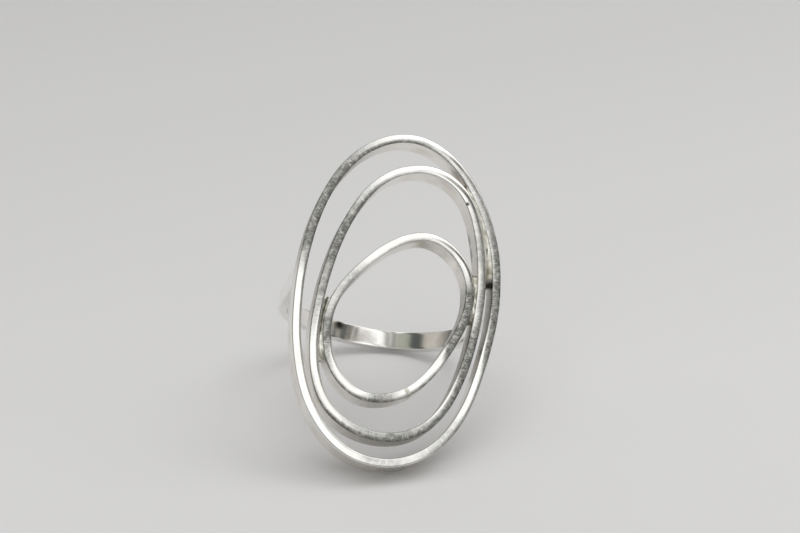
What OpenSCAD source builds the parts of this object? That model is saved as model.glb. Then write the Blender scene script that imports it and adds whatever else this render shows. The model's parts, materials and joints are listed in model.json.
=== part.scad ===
// Finger ring: three nested hoops of flat silver strip on a U-shaped band.
// Everything is drawn in the ring's own frame: X to the wearer's right, Y along the finger, Z out of
// the face, with the finger bore's axis on Y. It is then laid down as it rests on a table, leaning
// back on the lowest edge of the outer hoop and the back of the band, with +Z up.

/* [Band] */
// Inside diameter of the band
bore_d = 18; // [15:0.1:22]
// Thickness of the band
band_t = 1; // [0.8:0.1:1.6]
// Width of the band along the finger
band_w = 1.9; // [1.5:0.1:3]
// Straight part of each leg, from the bore's centre line to the back of the hoops
leg_len = 9.2; // [9.1:0.1:11]

/* [Hoops] */
// Height of the strip, from the back of the hoops to their front face
strip_h = 2.8; // [1.5:0.1:3.5]
// Thickness of the strip, which is the width of its front face
strip_t = 0.88; // [0.8:0.02:1]

/* [Solder] */
// Width of the soldered butt seam in each hoop and each leg's end
seam_w = 0.1; // [0.06:0.02:0.2]
// Reach of a solder fillet along the surfaces it joins
fillet = 0.6; // [0.3:0.1:0.8]
// How far the solder between two hoops stays below their front face
solder_drop = 0.15; // [0.1:0.05:0.4]

/* [Resting pose] */
// Angle between the face's normal and the vertical
face_tilt = 50.4; // [40:0.1:60]
// Turn of the ring about its face's normal
ring_roll = -17; // [-30:1:0]

/* [Hidden] */
$fn = 96;
steps = 10; // stations on each stretch of a hoop between two of its points
bore_r = bore_d / 2;
band_r = bore_r + band_t;
back_z = leg_len;
front_z = leg_len + strip_h;
lap = 0.01; // overlap of the band's straight and round parts

// The line that the middle of each strip follows, counter-clockwise from its right side
outer_line = [
    [9.3, -1], [8.7, 4.5], [6.5, 9.6], [3, 13.5], [-1.5, 14.7], [-6, 12], [-8.7, 6.6],
    [-9.6, 0], [-9.1, -7], [-6.8, -13.3], [-2.1, -17.2], [3.9, -16.3], [7.5, -11.6], [8.8, -6]];
middle_line = [
    [7.8, -1], [7.2, 4.7], [5.1, 10.1], [0.8, 11.9], [-3.8, 9.5], [-6.5, 3.5],
    [-7.5, -3], [-7.2, -8.6], [-5, -13.3], [0, -14.9], [4.6, -12.9], [7, -7.6]];
inner_line = [
    [6.7, -1.6], [6.1, 2.6], [2.8, 5.2], [-1, 4.1], [-4.6, 0.2],
    [-6.4, -3.8], [-5.6, -8.6], [-2.1, -11.4], [2.5, -9.9], [5, -6]];

// Where each hoop's butt seam is, in stations of its line
outer_seam_at = 23;
middle_seam_at = 15;
inner_seam_at = 79;
// Where the solder between two hoops starts and ends, in stations of the outer one of the two
outer_middle_run = [5, 24];
middle_inner_right_run = [118, 126];
middle_inner_left_run = [59, 70];

// Point i of a closed list, counted round past either end
function at(q, i) = q[(i + 4 * len(q)) % len(q)];
// Control points of a smooth cubic curve that runs through the points of q
function controls(q) = [for (i = [0 : len(q) - 1]) q[i] - (at(q, i - 1) - 2 * q[i] + at(q, i + 1)) / 6];
// Place and direction on that curve, with u from 0 to 1 along its stretch i
function spot(c, i, u) =
    (pow(1 - u, 3) * at(c, i - 1) + (3 * pow(u, 3) - 6 * u * u + 4) * at(c, i)
    + (-3 * pow(u, 3) + 3 * u * u + 3 * u + 1) * at(c, i + 1) + pow(u, 3) * at(c, i + 2)) / 6;
function heading(c, i, u) =
    (-pow(1 - u, 2) * at(c, i - 1) + (3 * u * u - 4 * u) * at(c, i)
    + (-3 * u * u + 2 * u + 1) * at(c, i + 1) + u * u * at(c, i + 2)) / 2;
function stations(line) = len(line) * steps;
// The middle of the strip at station k
function middle(line, k) = let (i = floor(k / steps)) spot(controls(line), i, k / steps - i);
// Edge of the strip on one side of its middle line, from station `from` to station `to`
function edge(line, side, from, to) =
    let (c = controls(line))
    [for (k = [from : to])
        let (i = floor(k / steps), h = heading(c, i, k / steps - i))
        spot(c, i, k / steps - i) + side * strip_t / 2 * [h[1], -h[0]] / norm(h)];
function reversed(v) = [for (i = [len(v) - 1 : -1 : 0]) v[i]];
// Where edge station k is moved `along` millimetres towards station k + 1
function nudged(line, side, k, along) =
    let (e = edge(line, side, k, k + 1)) e[0] + (e[1] - e[0]) / norm(e[1] - e[0]) * along;
// The station of a line that is nearest to the point p
function nearest(line, p) =
    let (far = [for (k = [0 : stations(line) - 1]) norm(middle(line, k) - p)])
    search(min(far), far)[0];

// Outline of a strip that starts and ends at a butt seam at station k
function open_strip(line, k) =
    let (n = stations(line))
    concat([nudged(line, 1, k, seam_w)], edge(line, 1, k + 1, k + n),
           reversed(concat([nudged(line, -1, k, seam_w)], edge(line, -1, k + 1, k + n))));
// Outline of the solder in that seam
function seam(line, k) = [
    edge(line, 1, k, k)[0], nudged(line, 1, k, seam_w), nudged(line, -1, k, seam_w), edge(line, -1, k, k)[0]];
// Outline of the solder between one strip's inside and the next one's outside, along a run of stations
function bridge(outside, inside, run) =
    let (from = nearest(inside, middle(outside, run[0])), to = nearest(inside, middle(outside, run[1])))
    concat(edge(outside, -1, run[0], run[1]),
           reversed(edge(inside, 1, from, to < from ? to + stations(inside) : to)));

// The pose: where a point of the ring's own frame comes to lie before the ring is centred
function laid(p) =
    let (x = p[0] * cos(ring_roll) - p[1] * sin(ring_roll), y = p[0] * sin(ring_roll) + p[1] * cos(ring_roll))
    [x, y * cos(face_tilt) - p[2] * sin(face_tilt), y * sin(face_tilt) + p[2] * cos(face_tilt)];
outside_points = concat(
    [for (z = [back_z, front_z], p = edge(outer_line, 1, 0, stations(outer_line) - 1)) laid([p[0], p[1], z])],
    [for (y = [-band_w / 2, band_w / 2], a = [180 : 360]) laid([band_r * cos(a), y, band_r * sin(a)])]);
function lowest(i) = min([for (p = outside_points) p[i]]);
function highest(i) = max([for (p = outside_points) p[i]]);
rest_shift = [-(lowest(0) + highest(0)) / 2, -(lowest(1) + highest(1)) / 2, -lowest(2)];

module rest() {
    translate(rest_shift) rotate([face_tilt, 0, 0]) rotate([0, 0, ring_roll]) children();
}

// A flat outline raised to the hoops' height, less a drop from the front face
module raised(outline, drop = 0) {
    rest() translate([0, 0, back_z]) linear_extrude(strip_h - drop) polygon(outline);
}

module outer_hoop() {
    color("silver") raised(open_strip(outer_line, outer_seam_at));
}

module middle_hoop() {
    color("silver") raised(open_strip(middle_line, middle_seam_at));
}

module inner_hoop() {
    color("silver") raised(open_strip(inner_line, inner_seam_at));
}

module outer_hoop_seam() {
    color("darkgray") raised(seam(outer_line, outer_seam_at));
}

module middle_hoop_seam() {
    color("darkgray") raised(seam(middle_line, middle_seam_at));
}

module inner_hoop_seam() {
    color("darkgray") raised(seam(inner_line, inner_seam_at));
}

module outer_middle_joint() {
    color("gray") raised(bridge(outer_line, middle_line, outer_middle_run), solder_drop);
}

module middle_inner_joint_right() {
    color("gray") raised(bridge(middle_line, inner_line, middle_inner_right_run), solder_drop);
}

module middle_inner_joint_left() {
    color("gray") raised(bridge(middle_line, inner_line, middle_inner_left_run), solder_drop);
}

// Half circle round the back of the finger, with two straight legs up to the hoops
module finger_band() {
    color("silver") rest() {
        rotate([-90, 0, 0]) rotate_extrude(angle = 180)
            translate([bore_r, -band_w / 2]) square([band_t, band_w]);
        for (x = [-band_r, bore_r])
            translate([x, -band_w / 2, -lap]) cube([band_t, band_w, leg_len - seam_w + lap]);
    }
}

// Solder under a hoop that holds one leg's end, with a fillet on either side of the leg
module band_joint(side) {
    half = band_w / 2;
    low = back_z - seam_w;
    color("gray") rest() translate([side * (bore_r + band_t / 2) - strip_t / 2, 0, 0])
        rotate([90, 0, 90]) linear_extrude(strip_t)
            polygon([[-half - fillet, back_z], [half + fillet, back_z], [half, low - fillet], [half, low],
                     [-half, low], [-half, low - fillet]]);
}

module band_joint_left() {
    band_joint(-1);
}

module band_joint_right() {
    band_joint(1);
}

outer_hoop();
middle_hoop();
inner_hoop();
finger_band();
outer_hoop_seam();
middle_hoop_seam();
inner_hoop_seam();
outer_middle_joint();
middle_inner_joint_right();
middle_inner_joint_left();
band_joint_left();
band_joint_right();
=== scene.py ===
"""Looks for a ring of nested silver hoops: filed strips, run-in solder, a polished band, a pale studio."""

import json
import math

import bpy
import numpy as np
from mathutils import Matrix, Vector, noise


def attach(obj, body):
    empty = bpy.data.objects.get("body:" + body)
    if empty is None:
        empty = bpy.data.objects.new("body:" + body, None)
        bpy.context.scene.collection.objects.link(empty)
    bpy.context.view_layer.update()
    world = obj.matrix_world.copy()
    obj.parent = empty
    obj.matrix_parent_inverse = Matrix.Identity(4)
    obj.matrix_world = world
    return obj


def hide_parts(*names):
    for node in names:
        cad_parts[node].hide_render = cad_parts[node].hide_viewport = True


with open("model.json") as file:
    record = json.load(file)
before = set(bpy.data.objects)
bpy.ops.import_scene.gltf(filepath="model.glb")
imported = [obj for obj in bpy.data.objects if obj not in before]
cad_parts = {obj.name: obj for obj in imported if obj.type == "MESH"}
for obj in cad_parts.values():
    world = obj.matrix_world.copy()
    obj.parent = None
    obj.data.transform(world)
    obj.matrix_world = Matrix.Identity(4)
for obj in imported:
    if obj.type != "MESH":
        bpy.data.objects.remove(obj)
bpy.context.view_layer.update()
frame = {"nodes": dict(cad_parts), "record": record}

MM = 0.001
MOUNTS = {m["name"]: m for m in frame["record"]["mounts"]}

# The ring's own frame, from the bore's centre: U to the wearer's right, V along the finger, N out of the
# face. Lengths in it are in millimetres.
ORIGIN = np.array(MOUNTS["finger_bore"]["pos_m"], float)
AXIS_V = np.array(MOUNTS["finger_bore"]["axis"], float)
AXIS_N = np.array(MOUNTS["front_face"]["axis"], float)
AXES = np.stack([np.cross(AXIS_V, AXIS_N), AXIS_V, AXIS_N])
BORE_R = MOUNTS["finger_bore"]["dims"]["r_mm"]


def to_local(points):
    """Metres in the row frame to millimetres in the ring's own frame."""
    return (np.asarray(points, float) - ORIGIN) @ AXES.T / MM


def to_row(points):
    """Millimetres in the ring's own frame to metres in the row frame."""
    return np.asarray(points, float) * MM @ AXES + ORIGIN


def mesh_points(obj):
    return to_local([v.co for v in obj.data.vertices])


def node_points(name):
    return mesh_points(frame["nodes"][name])


def wave(x, seed, scale):
    """A smooth value, about -1 to 1, that wanders as x moves, `scale` millimetres to a wander.

    Each seed takes its own line through the noise."""
    return noise.noise(Vector((x / scale, seed * 7.31, seed * 3.7))) * 1.6


def run_length(points):
    """The length along a line of points, up to each of them."""
    return np.concatenate([[0], np.cumsum(np.linalg.norm(np.diff(points, axis=0), axis=1))])


# Dark spots, (u, v, n, radius, strength), in the ring's own frame: black flux and pits left by the soldering,
# and painted shade on the band's inside and on the hoops' backs
FACE_N = node_points("outer_hoop")[:, 2].max()
BACK_N = node_points("outer_hoop")[:, 2].min()
STAINS_AND_SHADE = [
    (8.6, 1.6, FACE_N - 0.4, 0.45, 1.0),    # below the end of the solder between the outer and middle hoops
    (8.6, -2.0, FACE_N - 0.5, 0.25, 0.9),   # and two more down the same gap
    (8.4, -4.9, FACE_N - 0.6, 0.40, 1.0),
    (6.7, -4.2, FACE_N - 0.8, 0.35, 0.9),   # below the solder on the inner hoop's right
    (-6.1, -9.5, FACE_N - 0.3, 0.28, 1.0),  # on the inner hoop's lower left, with a trail
    (-5.6, -10.2, FACE_N - 0.5, 0.22, 0.8),
    (-5.1, -10.8, FACE_N - 0.6, 0.22, 0.7),
    (7.7, 4.9, BACK_N, 0.7, 0.9),           # painted shade on the backs behind the long run of solder on the right, which the band mirrors
    (7.4, 6.3, BACK_N, 0.7, 0.9),
    (6.9, 5.0, BACK_N, 0.8, 0.9),
    (6.7, 6.4, BACK_N, 0.8, 0.9),
    (-2.6, 0.6, -8.6, 0.5, 1.0),            # painted shade on the band's inside, in the gap close to its left leg
    (5.3, 9.2, FACE_N, 0.18, 1.0),          # a pit in the middle hoop's inner edge
    (4.1, 12.3, FACE_N - 0.9, 0.75, 0.55),  # brown in the wedge where the outer and middle hoops meet
]
SPOT_PEAK = 1.6   # a spot's strength at its middle, before it is cut off at 1
SPOT_SLOPE = 1.2  # and how much of that it loses over one radius


# ---------------------------------------------------------------- meshes

CORNER_STEPS = 6
FLAT_STOPS = (0.12, 0.3, 0.5, 0.7, 0.88)


def make_object(name, verts, faces, material):
    """A mesh object in the scene, from points in metres."""
    mesh = bpy.data.meshes.new(name)
    mesh.from_pydata([tuple(v) for v in verts], [], faces)
    mesh.validate()
    mesh.materials.append(material)
    obj = bpy.data.objects.new(name, mesh)
    bpy.context.scene.collection.objects.link(obj)
    return obj


def add_uv(obj, coords):
    """A UV map for the grain of the filing: millimetres along the strip, and 0 to 1 round its section."""
    layer = obj.data.uv_layers.new(name="run")
    for loop in obj.data.loops:
        layer.data[loop.index].uv = coords[loop.vertex_index]


def stain_and_shade_strength(points):
    """How strongly each point is covered by the strongest of the dark spots there, stains and painted shade
    alike.
    """
    total = np.zeros(len(points))
    for u, v, n, radius, strength in STAINS_AND_SHADE:
        away = np.linalg.norm(points - (u, v, n), axis=1) / radius
        total = np.maximum(total, strength * np.clip(SPOT_PEAK - SPOT_SLOPE * away, 0, 1))
    return total


def sweep(name, rings, along, material, wear=0.0, side=0.0):
    """A skin over a list of rings of points, with flat caps.

    wear and side go to the material: wear is one number or one for each point of each ring, and side one
    number or one for each point round a ring."""
    # the end rings come twice, so that the caps don't bend the skin's shading
    rings = [rings[0], *rings, rings[-1]]
    along = [along[0], *along, along[-1]]
    if np.ndim(wear):
        wear = np.concatenate([wear[:1], wear, wear[-1:]])
    count, size = len(rings), len(rings[0])
    verts = np.concatenate(rings)
    faces = []
    for i in range(1, count - 2):
        a, b = i * size, (i + 1) * size
        faces += [(a + j, a + (j + 1) % size, b + (j + 1) % size, b + j) for j in range(size)]
    faces.append(tuple(reversed(range(size))))
    faces.append(tuple((count - 1) * size + j for j in range(size)))
    obj = make_object(name, to_row(verts), faces, material)
    for polygon in obj.data.polygons:
        polygon.use_smooth = True
    add_uv(obj, [(s, j / size) for s in along for j in range(size)])
    shape = (count, size)
    layers = {"wear": wear, "side": np.reshape(side, (1, -1)), "stain_and_shade": stain_and_shade_strength(verts).reshape(shape)}
    for label, values in layers.items():
        layer = obj.data.attributes.new(label, "FLOAT", "POINT")
        layer.data.foreach_set("value", np.broadcast_to(values, shape).astype(np.float32).ravel())
    return obj


def rounded_section(half_t, half_h, r_front, r_back, crown):
    """Points (x, y) round a section: x across it, y up to its front face, which swells by `crown`."""
    points = []

    def corner(cx, cy, r, start):
        for k in range(CORNER_STEPS + 1):
            a = math.radians(start + 90 * k / CORNER_STEPS)
            points.append((cx + r * math.cos(a), cy + r * math.sin(a)))

    def flat(a, b, lift=0.0):
        for t in FLAT_STOPS:
            x = a[0] + (b[0] - a[0]) * t
            y = a[1] + (b[1] - a[1]) * t
            points.append((x, y + lift * 4 * t * (1 - t)))

    corner(half_t - r_front, half_h - r_front, r_front, 0)
    flat(points[-1], (-half_t + r_front, half_h), crown)
    corner(-half_t + r_front, half_h - r_front, r_front, 90)
    flat(points[-1], (-half_t, -half_h + r_back))
    corner(-half_t + r_back, -half_h + r_back, r_back, 180)
    flat(points[-1], (half_t - r_back, -half_h))
    corner(half_t - r_back, -half_h + r_back, r_back, 270)
    flat(points[-1], (half_t, half_h - r_front))
    return np.array(points)


# ---------------------------------------------------------------- the hoops' lines, from the CAD nodes

SEAM_CLEAR = 0.3  # only a seam's own end faces lie this close to its middle
CURVE_PARTS = 8   # parts of the smooth curve between two of its points


def hoop_edges(node_name, seam):
    """The outer and inner edge of a hoop, each a list of (u, v) that starts and ends at its butt seam."""
    points = node_points(node_name)
    centre = (points.min(0) + points.max(0))[:2] / 2
    gap = node_points(seam).mean(0)[:2]
    sides = ({}, {})
    for polygon in frame["nodes"][node_name].data.polygons:
        normal = AXES @ np.array(polygon.normal)
        corners = points[list(polygon.vertices)]
        middle = corners.mean(0)[:2]
        if abs(normal[2]) > 0.5 or np.linalg.norm(middle - gap) < SEAM_CLEAR:
            continue
        inside = int(normal[:2] @ (middle - centre) < 0)
        for u, v in corners[:, :2]:
            sides[inside][round(u, 2), round(v, 2)] = (math.atan2(v - centre[1], u - centre[0]), u, v)
    edges = []
    for side in sides:
        edge = np.array(sorted(side.values()))[:, 1:]
        steps = np.linalg.norm(np.roll(edge, -1, 0) - edge, axis=1)
        edges.append(np.roll(edge, -1 - steps.argmin(), 0))  # the seam is the shortest step
    return edges


def smooth_run(points, step):
    """The points joined by a smooth curve, resampled about every `step`, with each sample's arc length."""
    p = np.concatenate([[2 * points[0] - points[1]], points, [2 * points[-1] - points[-2]]])
    dense = []
    for i in range(1, len(p) - 2):
        for u in np.arange(CURVE_PARTS) / CURVE_PARTS:
            dense.append(0.5 * (2 * p[i] + (p[i + 1] - p[i - 1]) * u
                                + (2 * p[i - 1] - 5 * p[i] + 4 * p[i + 1] - p[i + 2]) * u * u
                                + (3 * p[i] - p[i - 1] - 3 * p[i + 1] + p[i + 2]) * u ** 3))
    dense.append(p[-2])
    dense = np.array(dense)
    length = run_length(dense)
    s = np.linspace(0, length[-1], int(length[-1] / step) + 1)
    return np.stack([np.interp(s, length, column) for column in dense.T], 1), s


# ---------------------------------------------------------------- materials

# black for the stains and for painted shade
STAIN_AND_SHADE_BLACK = (0.045, 0.042, 0.03)
# Stretch of the filing marks that run across a strip, and of those that run along it
ACROSS_GRAIN = (11, 7, 1)
LENGTHWAYS_GRAIN = (0.6, 40, 1)
SCRATCH_DEPTH = 0.00003      # metres
SOLDER_LUMP_DEPTH = 0.00006  # metres


def new_material(name):
    mat = bpy.data.materials.new(name)
    mat.use_nodes = True
    tree = mat.node_tree
    return mat, tree, tree.nodes["Principled BSDF"]


def link(tree, a, b):
    tree.links.new(a, b)


def node(tree, kind, **values):
    made = tree.nodes.new(kind)
    for key, value in values.items():
        if key in made.inputs:
            made.inputs[key].default_value = value
        else:
            setattr(made, key, value)
    return made


def attribute(tree, name):
    return node(tree, "ShaderNodeAttribute", attribute_name=name).outputs["Fac"]


def ramp(tree, source, stops):
    made = tree.nodes.new("ShaderNodeValToRGB")
    while len(made.color_ramp.elements) < len(stops):
        made.color_ramp.elements.new(0.5)
    for element, (at, colour) in zip(made.color_ramp.elements, stops):
        element.position = at
        element.color = (*colour, 1)
    link(tree, source, made.inputs[0])
    return made.outputs[0]


def grey(v):
    return (v, v, v)


def maths(tree, operation, a, b):
    made = tree.nodes.new("ShaderNodeMath")
    made.operation = operation
    for slot, value in zip(made.inputs, (a, b)):
        if isinstance(value, (int, float)):
            slot.default_value = value
        else:
            link(tree, value, slot)
    return made.outputs[0]


def mix(tree, factor, a, b):
    made = tree.nodes.new("ShaderNodeMix")
    made.data_type = "RGBA"
    link(tree, factor, made.inputs["Factor"])
    for slot, value in ((made.inputs["A"], a), (made.inputs["B"], b)):
        if isinstance(value, tuple):
            slot.default_value = (*value, 1)
        else:
            link(tree, value, slot)
    return made.outputs["Result"]


def noise_texture(tree, vector, scale, detail=3.0, roughness=0.55):
    made = node(tree, "ShaderNodeTexNoise", Scale=scale, Detail=detail, Roughness=roughness)
    link(tree, vector, made.inputs["Vector"])
    return made.outputs[0]


def add_bump(tree, shader, height, strength, depth):
    bump = node(tree, "ShaderNodeBump", Strength=strength, Distance=depth)
    link(tree, height, bump.inputs["Height"])
    link(tree, bump.outputs[0], shader.inputs["Normal"])


def silver_material(name, grain_scale, polish, scratch, seed):
    """Worked silver. "wear" turns a point from polished to matte and scratched, and "side" to a dull wall."""
    mat, tree, shader = new_material(name)
    uv = node(tree, "ShaderNodeUVMap", uv_map="run")
    place = node(tree, "ShaderNodeTexCoord").outputs["Object"]
    matte_by_point = attribute(tree, "wear")
    side = attribute(tree, "side")
    stretch = node(tree, "ShaderNodeMapping", Scale=grain_scale, Location=(seed, seed * 2, 0))
    link(tree, uv.outputs[0], stretch.inputs[0])
    streaks = noise_texture(tree, stretch.outputs[0], 1.0, 5.0, 0.7)
    blotches = noise_texture(tree, place, 2400.0, 4.0, 0.65)
    grain = maths(tree, "ADD", maths(tree, "MULTIPLY", streaks, 0.6), maths(tree, "MULTIPLY", blotches, 0.4))
    smear = noise_texture(tree, place, 420.0)
    pits = noise_texture(tree, place, 4200.0, 2.0, 0.5)

    # matte where the wear is high, in patches with soft edges
    patchy = maths(tree, "ADD", matte_by_point, maths(tree, "MULTIPLY", maths(tree, "SUBTRACT", smear, 0.5), 0.9))
    dull = ramp(tree, patchy, [(0.1, grey(0)), (1.0, grey(1))])
    bright = ramp(tree, smear, [(0.35, (0.88, 0.87, 0.84)), (0.6, (0.97, 0.965, 0.95))])
    matte = ramp(tree, grain, [(0.38, (0.09, 0.092, 0.085)),
                               (0.5, (0.26, 0.26, 0.245)),
                               (0.62, (0.72, 0.715, 0.69))])
    wall = ramp(tree, smear, [(0.35, (0.76, 0.72, 0.66)), (0.62, (0.93, 0.905, 0.87))])
    wall = mix(tree, maths(tree, "MULTIPLY", dull, 0.5), wall, matte)
    silver = mix(tree, side, mix(tree, dull, bright, matte), wall)
    shader.inputs["Metallic"].default_value = 1.0
    # black at the stains and at the spots of painted shade
    link(tree, mix(tree, attribute(tree, "stain_and_shade"), silver, STAIN_AND_SHADE_BLACK), shader.inputs["Base Color"])

    rough = maths(tree, "ADD", maths(tree, "MULTIPLY", dull, 0.24), polish)
    rough = maths(tree, "ADD", rough, maths(tree, "MULTIPLY", side, 0.08))
    link(tree, rough, shader.inputs["Roughness"])
    relief = maths(tree, "ADD", grain, maths(tree, "MULTIPLY", pits, 0.4))
    relief = maths(tree, "MULTIPLY", relief, maths(tree, "ADD", dull, 0.25))
    add_bump(tree, shader, relief, scratch, SCRATCH_DEPTH)
    return mat


def solder_material():
    """Solder: duller than the silver, lumpy, brown in patches, black at stains and painted shade spots, and
    black with painted shade where "side" is 1.
    """
    mat, tree, shader = new_material("solder")
    place = node(tree, "ShaderNodeTexCoord").outputs["Object"]
    lumps = noise_texture(tree, place, 900.0, 4.0, 0.6)
    patches = noise_texture(tree, place, 420.0, 3.0, 0.6)
    tone = ramp(tree, patches, [(0.3, (0.30, 0.28, 0.21)),
                                (0.45, (0.60, 0.59, 0.52)),
                                (0.6, (0.88, 0.87, 0.82))])
    tone = mix(tree, attribute(tree, "stain_and_shade"), tone, STAIN_AND_SHADE_BLACK)
    shader.inputs["Metallic"].default_value = 1.0
    # painted shade: black where "side" is 1, down the middle of a run
    link(tree, mix(tree, attribute(tree, "side"), tone, STAIN_AND_SHADE_BLACK), shader.inputs["Base Color"])
    link(tree, ramp(tree, patches, [(0.4, grey(0.42)), (0.65, grey(0.24))]), shader.inputs["Roughness"])
    add_bump(tree, shader, lumps, 0.5, SOLDER_LUMP_DEPTH)
    return mat


def floor_material():
    """Pale paper with painted shade: its colour darkens towards the back, standing in for the light falling
    off.
    """
    mat, tree, shader = new_material("floor")
    split = node(tree, "ShaderNodeSeparateXYZ")
    link(tree, node(tree, "ShaderNodeTexCoord").outputs["Object"], split.inputs[0])
    # painted shade: darker towards the back
    tone = ramp(tree, split.outputs["Y"], [(0.0, (0.86, 0.858, 0.872)), (0.25, (0.60, 0.60, 0.612))])
    link(tree, tone, shader.inputs["Base Color"])
    shader.inputs["Roughness"].default_value = 0.75
    shader.inputs["Specular IOR Level"].default_value = 0.25
    return mat


HOOP_SILVER = silver_material("silver_hoops", ACROSS_GRAIN, polish=0.12, scratch=0.4, seed=3)
BAND_SILVER = silver_material("silver_band", LENGTHWAYS_GRAIN, polish=0.14, scratch=0.1, seed=11)
SOLDER = solder_material()


# ---------------------------------------------------------------- hoops

STEP = 0.12           # between two rings of a hoop's skin
FRONT_EDGE_R = 0.16
BACK_EDGE_R = 0.09
CROWN = 0.016         # how far the face's middle stands above its edges
WALL_TOP = 0.6        # the duller wall starts this far down the front edge's rounding, as a share of it
WALL_FADE = 0.15      # and the polished face turns to it over this much height
EDGE_MATTE_START = 0.2  # the extra matte at an edge starts a little off the face's middle
EDGE_MATTE_RISE = 2     # and is full a little before the edge
FACE_CLEAR = 0.02     # how far the strip's edges stay inside the CAD hoop, in front and behind
STRIP_FILL = 0.98     # the strip's thickness as a share of the CAD hoop's
# Small waves along a strip: (size, length)
THICKNESS_WAVE = (0.015, 5.0)
LEAN_WAVE = (0.9, 2.6)  # its size is in degrees
FACE_WAVE = (0.006, 3.0)
SIDE_WAVE = (0.012, 4.0)


def finish_piece(obj, node_name):
    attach(obj, "root")
    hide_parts(node_name)


def waver(s, seed, size_and_length):
    size, length = size_and_length
    return size * wave(s, seed, length)


def build_hoop(name, seed, tilt, wear, inner_edge_matte, outer_edge_matte):
    """A strip on edge along the CAD hoop's line. Returns its rings.

    At each angle tilt leans its face outwards, in degrees; wear is how matte the strip is there, and
    inner_edge_matte and outer_edge_matte are added to that at its face's inner and outer edge, which makes
    those edges darker where they are above 0."""
    node_name = name + "_hoop"
    outer, inner = hoop_edges(node_name, node_name + "_seam")
    zs = node_points(node_name)[:, 2]
    low, high = zs.min(), zs.max()
    half_h = (high - low) / 2 - FACE_CLEAR
    both, s = smooth_run(np.concatenate([outer, inner], 1), STEP)
    centre = (both.min(0) + both.max(0))[:2] / 2
    rings, matte_by_point = [], []
    for i in range(len(s)):
        a, b = both[i, :2], both[i, 2:]
        mid = (a + b) / 2
        thickness = np.linalg.norm(a - b)
        out = (a - b) / thickness
        half_t = thickness / 2 * (STRIP_FILL + waver(s[i], seed, THICKNESS_WAVE))
        section = rounded_section(half_t, half_h, FRONT_EDGE_R, BACK_EDGE_R, CROWN)
        angle = math.degrees(math.atan2(*(mid - centre)[::-1])) % 360
        lean = math.tan(math.radians(tilt(angle) + waver(s[i], seed + 1, LEAN_WAVE)))
        top = waver(s[i], seed + 2, FACE_WAVE)
        x, y = section.T.copy()
        front = y > 0
        # the lean lowers the face on the side that it leans to
        y[front] += top - lean * (x[front] + half_t * np.sign(lean)) * np.clip(y[front] / half_h, 0, 1) ** 3
        x += waver(s[i], seed + 3, SIDE_WAVE)
        rings.append(np.stack([mid[0] + out[0] * x, mid[1] + out[1] * x, (low + high) / 2 + y], 1))
        across = section[:, 0] / half_t
        on_face = section[:, 1] > half_h - FRONT_EDGE_R
        at_edges = (inner_edge_matte(angle) * np.clip(-across * EDGE_MATTE_RISE - EDGE_MATTE_START, 0, 1)
                    + outer_edge_matte(angle) * np.clip(across * EDGE_MATTE_RISE - EDGE_MATTE_START, 0, 1))
        matte_by_point.append(wear(angle) + on_face * at_edges)
    wall = np.clip((half_h - section[:, 1] - FRONT_EDGE_R * WALL_TOP) / WALL_FADE, 0, 1)
    obj = sweep(node_name + "_strip", rings, s, HOOP_SILVER, np.array(matte_by_point), wall)
    finish_piece(obj, node_name)
    return rings


def bumps(*list_of_bumps):
    """Sum of smooth bumps over the hoop's angle: each is (angle, half width, height)."""
    def value(angle):
        total = 0.0
        for at, width, height in list_of_bumps:
            d = abs((angle - at + 180) % 360 - 180) / width
            if d < 1:
                total += height * (1 - d * d) ** 2
        return total
    return value


outer_rings = build_hoop(
    "outer", 1,
    tilt=bumps((92, 40, 6), (225, 60, 3), (310, 30, -3)),
    wear=bumps((12, 54, 1.5), (58, 26, 0.4), (138, 46, 1.5), (273, 16, 0.4), (295, 20, 0.4), (340, 22, 0.5)),
    inner_edge_matte=bumps((100, 42, 0.9), (334, 36, -1.2), (20, 42, -0.6), (210, 45, -0.4)),
    outer_edge_matte=bumps((308, 25, 0.5)))
middle_rings = build_hoop(
    "middle", 21,
    tilt=bumps((85, 40, 6), (222, 30, 1), (250, 26, 5)),
    wear=bumps((14, 42, 0.75), (50, 24, 0.45), (144, 46, 1.3), (190, 32, 0.7), (277, 36, 0.9),
               (324, 38, 1.5)),
    inner_edge_matte=bumps((108, 42, 0.5), (215, 36, -0.9), (310, 30, -0.9), (10, 40, -0.4)),
    outer_edge_matte=bumps((250, 28, 1.0), (290, 25, 0.5)))
inner_rings = build_hoop(
    "inner", 41,
    tilt=bumps((88, 50, 6), (242, 34, 5), (304, 30, -5)),
    wear=bumps((-4, 44, 1.4), (16, 36, 0.9), (158, 48, 0.6), (206, 32, 1.0), (266, 20, 0.8), (334, 16, 0.4)),
    inner_edge_matte=bumps((80, 60, 0.6), (232, 34, -1.2), (322, 30, -1.0)),
    outer_edge_matte=bumps((246, 32, 0.8), (296, 32, 0.9)))


# ---------------------------------------------------------------- band

LEG_STEP = 0.25       # between two rings on a leg
ARC_RINGS = 180
BAND_FRONT_R = 0.16   # on the outside of the band
BAND_BACK_R = 0.1     # and on its inside
BAND_CLEAR = 0.01     # how far the band stays inside the CAD band, on its inside and outside
BAND_FILL = 0.985     # its width as a share of the CAD band's
BAND_SEED = 61
BAND_WIDTH_WAVE = (0.012, 3)
BAND_SIDE_WAVE = (0.012, 2.6)

BAND_POINTS = node_points("finger_band")
BAND_HALF_W = BAND_POINTS[:, 1].max()


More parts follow.
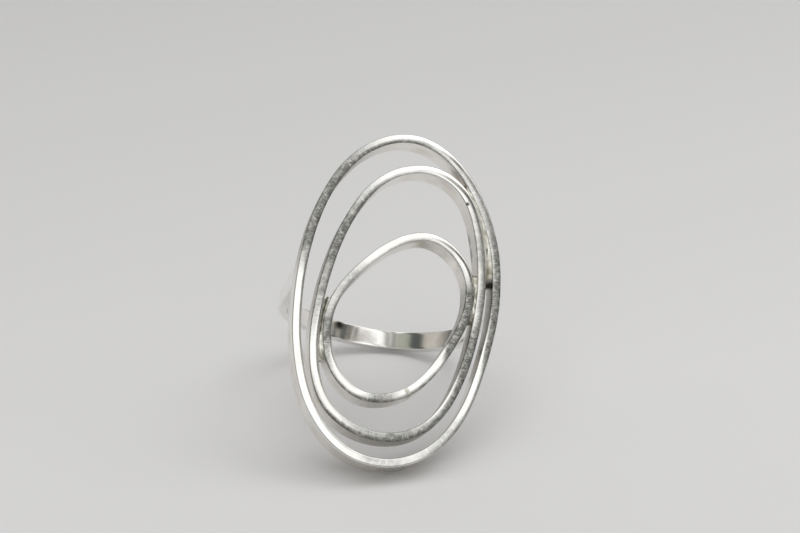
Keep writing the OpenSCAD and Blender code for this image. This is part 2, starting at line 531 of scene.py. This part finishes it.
def build_band():
    """A flat band with softened edges: a half circle, and two legs up to the hoops."""
    outer_r = np.hypot(BAND_POINTS[:, 0], BAND_POINTS[:, 2])[BAND_POINTS[:, 2] < 0].max()
    top = BAND_POINTS[:, 2].max()
    mid_r = (BORE_R + outer_r) / 2
    line = [(-mid_r, n, 0.0) for n in np.arange(top, 0, -LEG_STEP)]
    line += [(-mid_r * math.cos(a), -mid_r * math.sin(a), a) for a in np.linspace(0, math.pi, ARC_RINGS)]
    line += [(mid_r, n, math.pi) for n in [*np.arange(LEG_STEP, top, LEG_STEP), top]]
    line = np.array(line)
    s = run_length(line[:, :2])
    rings = []
    for (u, n, a), si in zip(line, s):
        out = np.array([-math.cos(a), -math.sin(a)])
        half_w = BAND_HALF_W * (BAND_FILL + waver(si, BAND_SEED, BAND_WIDTH_WAVE))
        section = rounded_section(half_w, (outer_r - BORE_R) / 2 - BAND_CLEAR, BAND_FRONT_R, BAND_BACK_R, 0.0)
        v, y = section[:, 0], section[:, 1] + waver(si, BAND_SEED + 2, BAND_SIDE_WAVE)
        rings.append(np.stack([u + out[0] * y, v, n + out[1] * y], 1))
    finish_piece(sweep("finger_band_strip", rings, s, BAND_SILVER), "finger_band")


build_band()


# ---------------------------------------------------------------- solder

RUN_SAMPLES = 40      # rings along a run of solder
RUN_COLUMNS = 9       # points across it, in front and behind
RUN_END = 1.3         # length over which a run of solder thins out at each end
RUN_OVERLAP = 0.06    # how far its sides reach into the hoops
RUN_THINNING = 0.46   # the share of its height that its back loses at its ends
RUN_BACK_DROP = 0.05  # how far its back starts inside the CAD's
RUN_LUMP = 0.1        # size of its lumps
RUN_LUMP_RATE = 1.9   # lumps to a millimetre, roughly
SHADE_LINE_FADE = 0.5      # length over which the painted shade line starts and ends


def build_seam(name, rings, reach, proud, **look):
    """Solder in a hoop's butt seam, which has run over `reach` rings of the strip's ends.

    It stands `proud` above them."""
    web = []
    for ring in rings[-reach:] + rings[:reach]:
        arm = ring - ring.mean(0)
        web.append(ring + arm / np.linalg.norm(arm, axis=1)[:, None] * proud)
    node_name = name + "_hoop_seam"
    finish_piece(sweep(node_name + "_web", web, np.arange(len(web)) * STEP, **look), node_name)


build_seam("outer", outer_rings, 1, 0.002, material=HOOP_SILVER, wear=0.4)
build_seam("middle", middle_rings, 1, 0.002, material=HOOP_SILVER, wear=0.4)
build_seam("inner", inner_rings, 3, 0.012, material=SOLDER)


def run_edges(name):
    """The two sides of a run of solder between hoops, point by point, and its lowest and highest n."""
    points = node_points(name)
    lo, hi = points[:, 2].min(), points[:, 2].max()
    top = np.unique(np.round(points[points[:, 2] > (lo + hi) / 2][:, :2], 3), axis=0)
    centre = top.mean(0)
    spread = top - centre
    along = np.linalg.eigh(spread.T @ spread)[1][:, 1]
    t = top @ along
    order = np.argsort(t)
    top, t = top[order], t[order]
    chord = np.array([-along[1], along[0]])
    x = (top - centre) @ chord
    # the run is bent, so a curve through all its points tells one side from the other
    side = x > np.polyval(np.polyfit(t, x, 3), t)
    samples = np.linspace(t.min(), t.max(), RUN_SAMPLES)
    sides = []
    for flag in (side, ~side):
        xs = np.interp(samples, t[flag], x[flag])
        sides.append(centre + np.outer(samples - centre @ along, along) + np.outer(xs, chord))
    return sides[0], sides[1], lo, hi


def build_run(name, seed, dip, pits, rise=0.06, shade_line=None):
    """Solder drawn in between two hoops: hollow in front and behind, lumpy, and thinning out to its ends.

    pits is how deep its front falls away at the ends, as a share of what its back does. rise is how far
    its front starts above the CAD's flat front, and shade_line the range of v in which a line of painted
    shade, black, runs down its middle, for the shadow in the gap between the hoops."""
    a, b, lo, hi = run_edges(name)
    s = run_length((a + b) / 2)
    across = np.linspace(0, 1, RUN_COLUMNS)
    hollow = 4 * across * (1 - across)
    rings = []
    for i, (p, q) in enumerate(zip(a, b)):
        gap = np.linalg.norm(q - p)
        lap = (q - p) / max(gap, 1e-6) * RUN_OVERLAP
        line = (p - lap) + np.outer(across, (q - p) + lap * 2)
        near_end = np.clip(1 - min(s[i], s[-1] - s[i]) / RUN_END, 0, 1)
        thin = (hi - lo) * RUN_THINNING * (1 - math.sqrt(1 - near_end ** 2))
        sides = []
        for start, sign, level, ends in ((seed, -1, hi + rise, pits), (seed + 5, 1, lo + RUN_BACK_DROP, 1)):
            lump = np.array([noise.noise(Vector((u, v, start))) for u, v in line * RUN_LUMP_RATE])
            depth = (dip * (0.5 + gap) + RUN_LUMP * lump) * hollow + thin * ends
            sides.append(np.column_stack([line, level + sign * depth]))
        rings.append(np.concatenate([sides[0], sides[1][::-1]]))
    obj = sweep(name + "_run", rings, s, SOLDER)
    # a painted shade line, black, down the middle of the run's front, where the gap between the hoops is in
    # shadow
    if shade_line:
        v_at = mesh_points(obj)[:, 1]
        down_middle = np.tile(np.concatenate([hollow ** 3, 0 * hollow]), len(v_at) // (2 * len(hollow)))
        fade_in = np.clip((v_at - shade_line[0]) / SHADE_LINE_FADE, 0, 1)
        fade_out = np.clip((shade_line[1] - v_at) / SHADE_LINE_FADE, 0, 1)
        painted_shade = down_middle * fade_in * fade_out
        obj.data.attributes["side"].data.foreach_set("value", painted_shade.astype(np.float32))
    finish_piece(obj, name)


build_run("outer_middle_joint", 2, dip=0.08, pits=0.6, rise=0.11)
build_run("middle_inner_joint_right", 6, dip=0.1, pits=0.5)
build_run("middle_inner_joint_left", 10, dip=0.12, pits=0.2, shade_line=(-6.3, -1.0))


FILLET_RINGS = 13
FILLET_STEPS = 8
FILLET_PINCH = 0.35   # the share of its size that a fillet loses at the strip's two edges
FILLET_OVERLAP = 0.03  # how far it reaches into the leg
FILLET_WOBBLE = 0.04


def build_leg_joint(name, seed):
    """Solder under a hoop at one leg's end: a hollow fillet up both sides of the leg."""
    points = node_points(name)
    lo, hi = points.min(0), points.max(0)
    stations = np.linspace(0, 1, FILLET_RINGS)
    rings = []
    for t in stations:
        u = lo[0] + (hi[0] - lo[0]) * t
        pinch = 1 - FILLET_PINCH * (2 * t - 1) ** 4
        reach = (hi[1] - BAND_HALF_W) * pinch
        drop = (hi[2] - lo[2]) * pinch
        arcs = []
        for side in (1, -1):
            arc = []
            for j in range(FILLET_STEPS + 1):
                a = math.radians(90 * j / FILLET_STEPS)
                v = BAND_HALF_W - FILLET_OVERLAP + reach * (1 - math.sin(a))
                n = hi[2] - drop * (1 - math.cos(a))
                wobble = FILLET_WOBBLE * noise.noise(Vector((u * 2, j * 0.7, seed + side)))
                arc.append((u, side * (v + wobble), n + wobble * 0.5))
            arcs.append(arc)
        rings.append(np.array(arcs[0] + arcs[1][::-1]))
    finish_piece(sweep(name + "_fillet", rings, stations, SOLDER), name)


build_leg_joint("band_joint_left", 3)
build_leg_joint("band_joint_right", 8)


# ---------------------------------------------------------------- studio

# The room that the silver mirrors, by compass direction in degrees: 0 is in front of the ring, towards
# -Y, and 90 is at its right. Each part lists colours at directions, and blends from one to the next.
WHITE = (1.12, 1.12, 1.1)
BACK_WALL = (0.5, 0.5, 0.49)
BEIGE = (0.52, 0.49, 0.44)
GREEN_GREY = (0.36, 0.37, 0.31)
DARK = (0.07, 0.078, 0.075)
FROM_BACK = [(-180, BACK_WALL), (-135, BACK_WALL), (-125, BEIGE)]
TO_BACK = [(80, BEIGE), (100, BACK_WALL), (180, BACK_WALL)]
LEFT_GAP = [(-99, BEIGE), (-95, DARK), (-82, DARK), (-77, GREEN_GREY), (-56, GREEN_GREY)]
# Low down there are dim walls in front, with a brownish patch and a bright window
ROOM_LOW = [
    *FROM_BACK, (-97, BEIGE), (-70, GREEN_GREY), (-42, grey(0.13)), (-16, grey(0.12)),
    (-9, (0.44, 0.40, 0.35)), (6, (0.40, 0.37, 0.33)), (14, grey(0.18)), (23, grey(0.2)),
    (27, grey(0.9)), (43, grey(0.9)), (48, BEIGE), (51, DARK), (58, DARK), (62, BEIGE), *TO_BACK]
# Higher up there is a white card in front, with dark gaps to its left and right
ROOM_WALLS = [
    *FROM_BACK, *LEFT_GAP, (-50, WHITE), (25, WHITE), (27, DARK), (50, DARK), (54, BEIGE), *TO_BACK]
ROOM_UPPER = [
    *FROM_BACK, *LEFT_GAP, (-50, WHITE), (28, WHITE), (30, (0.42, 0.40, 0.36)), (33, (0.40, 0.38, 0.34)),
    (36, DARK), (50, DARK), (54, BEIGE), *TO_BACK]
ROOM_CEILING = WHITE
# The sine of the elevation over which one part gives way to the next
DIM_FOOT = (0.10, 0.38)
LOW_TO_WALLS = (0.46, 0.50)
WALLS_TO_UPPER = (0.73, 0.75)
UPPER_TO_CEILING = (0.825, 0.855)
FOOT_SHARE = 0.25  # of the low walls' brightness is left at their foot

# Places and sizes from here on are in metres
FLOOR_HALF = 3.0

KEY_AZIMUTH = 92
KEY_ELEVATION = 52
KEY_DISTANCE = 0.55
KEY_SIZE = 0.35
KEY_POWER = 0.4
KEY_AIM = Vector((0, 0, 0.012))

CAMERA_AZIMUTH = -14.05
CAMERA_ELEVATION = 25.5
CAMERA_DISTANCE = 0.270
CAMERA_AIM = Vector((0.0032, 0.00738, 0.01181))
CAMERA_LENS = 122.2


def build_floor():
    corners = [(-FLOOR_HALF, -FLOOR_HALF, 0), (FLOOR_HALF, -FLOOR_HALF, 0),
               (FLOOR_HALF, FLOOR_HALF, 0), (-FLOOR_HALF, FLOOR_HALF, 0)]
    make_object("table", corners, [(0, 1, 2, 3)], floor_material())


def place_towards(name, data, aim, azimuth, elevation, distance):
    """A light or camera that looks at `aim` from a compass direction like the room's."""
    obj = bpy.data.objects.new(name, data)
    a, e = math.radians(azimuth), math.radians(elevation)
    away = Vector((math.sin(a) * math.cos(e), -math.cos(a) * math.cos(e), math.sin(e)))
    obj.location = aim + away * distance
    obj.rotation_mode = "QUATERNION"
    obj.rotation_quaternion = (-away).to_track_quat("-Z", "Y")
    bpy.context.scene.collection.objects.link(obj)
    return obj


def build_key_light():
    data = bpy.data.lights.new("key_softbox", "AREA")
    data.shape = "RECTANGLE"
    data.size = KEY_SIZE
    data.size_y = KEY_SIZE
    data.energy = KEY_POWER
    place_towards("key_softbox", data, KEY_AIM, KEY_AZIMUTH, KEY_ELEVATION, KEY_DISTANCE)


def build_world():
    """The room round the ring, as the brightness of each direction."""
    world = bpy.data.worlds.new("studio")
    bpy.context.scene.world = world
    world.use_nodes = True
    tree = world.node_tree
    split = node(tree, "ShaderNodeSeparateXYZ")
    link(tree, node(tree, "ShaderNodeTexCoord").outputs["Generated"], split.inputs[0])
    azimuth = maths(tree, "ARCTAN2", split.outputs["X"], maths(tree, "MULTIPLY", split.outputs["Y"], -1))
    turn = maths(tree, "ADD", maths(tree, "DIVIDE", azimuth, 2 * math.pi), 0.5)
    low, walls, upper = (ramp(tree, turn, [(a / 360 + 0.5, colour) for a, colour in part])
                         for part in (ROOM_LOW, ROOM_WALLS, ROOM_UPPER))

    def rising(edges, start=0.0):
        return ramp(tree, split.outputs["Z"], [(edges[0], grey(start)), (edges[1], grey(1))])

    room = mix(tree, rising(LOW_TO_WALLS), mix(tree, rising(DIM_FOOT, FOOT_SHARE), grey(0.0), low), walls)
    room = mix(tree, rising(WALLS_TO_UPPER), room, upper)
    room = mix(tree, rising(UPPER_TO_CEILING), room, ROOM_CEILING)
    link(tree, room, tree.nodes["Background"].inputs[0])
    tree.nodes["Background"].inputs[1].default_value = 1.0


def build_camera():
    data = bpy.data.cameras.new("camera")
    data.lens = CAMERA_LENS
    data.sensor_width = 36
    data.clip_start = 0.01
    bpy.context.scene.camera = place_towards(
        "camera", data, CAMERA_AIM, CAMERA_AZIMUTH, CAMERA_ELEVATION, CAMERA_DISTANCE)


build_floor()
build_world()
build_key_light()
build_camera()
bpy.context.scene.view_settings.view_transform = "Standard"
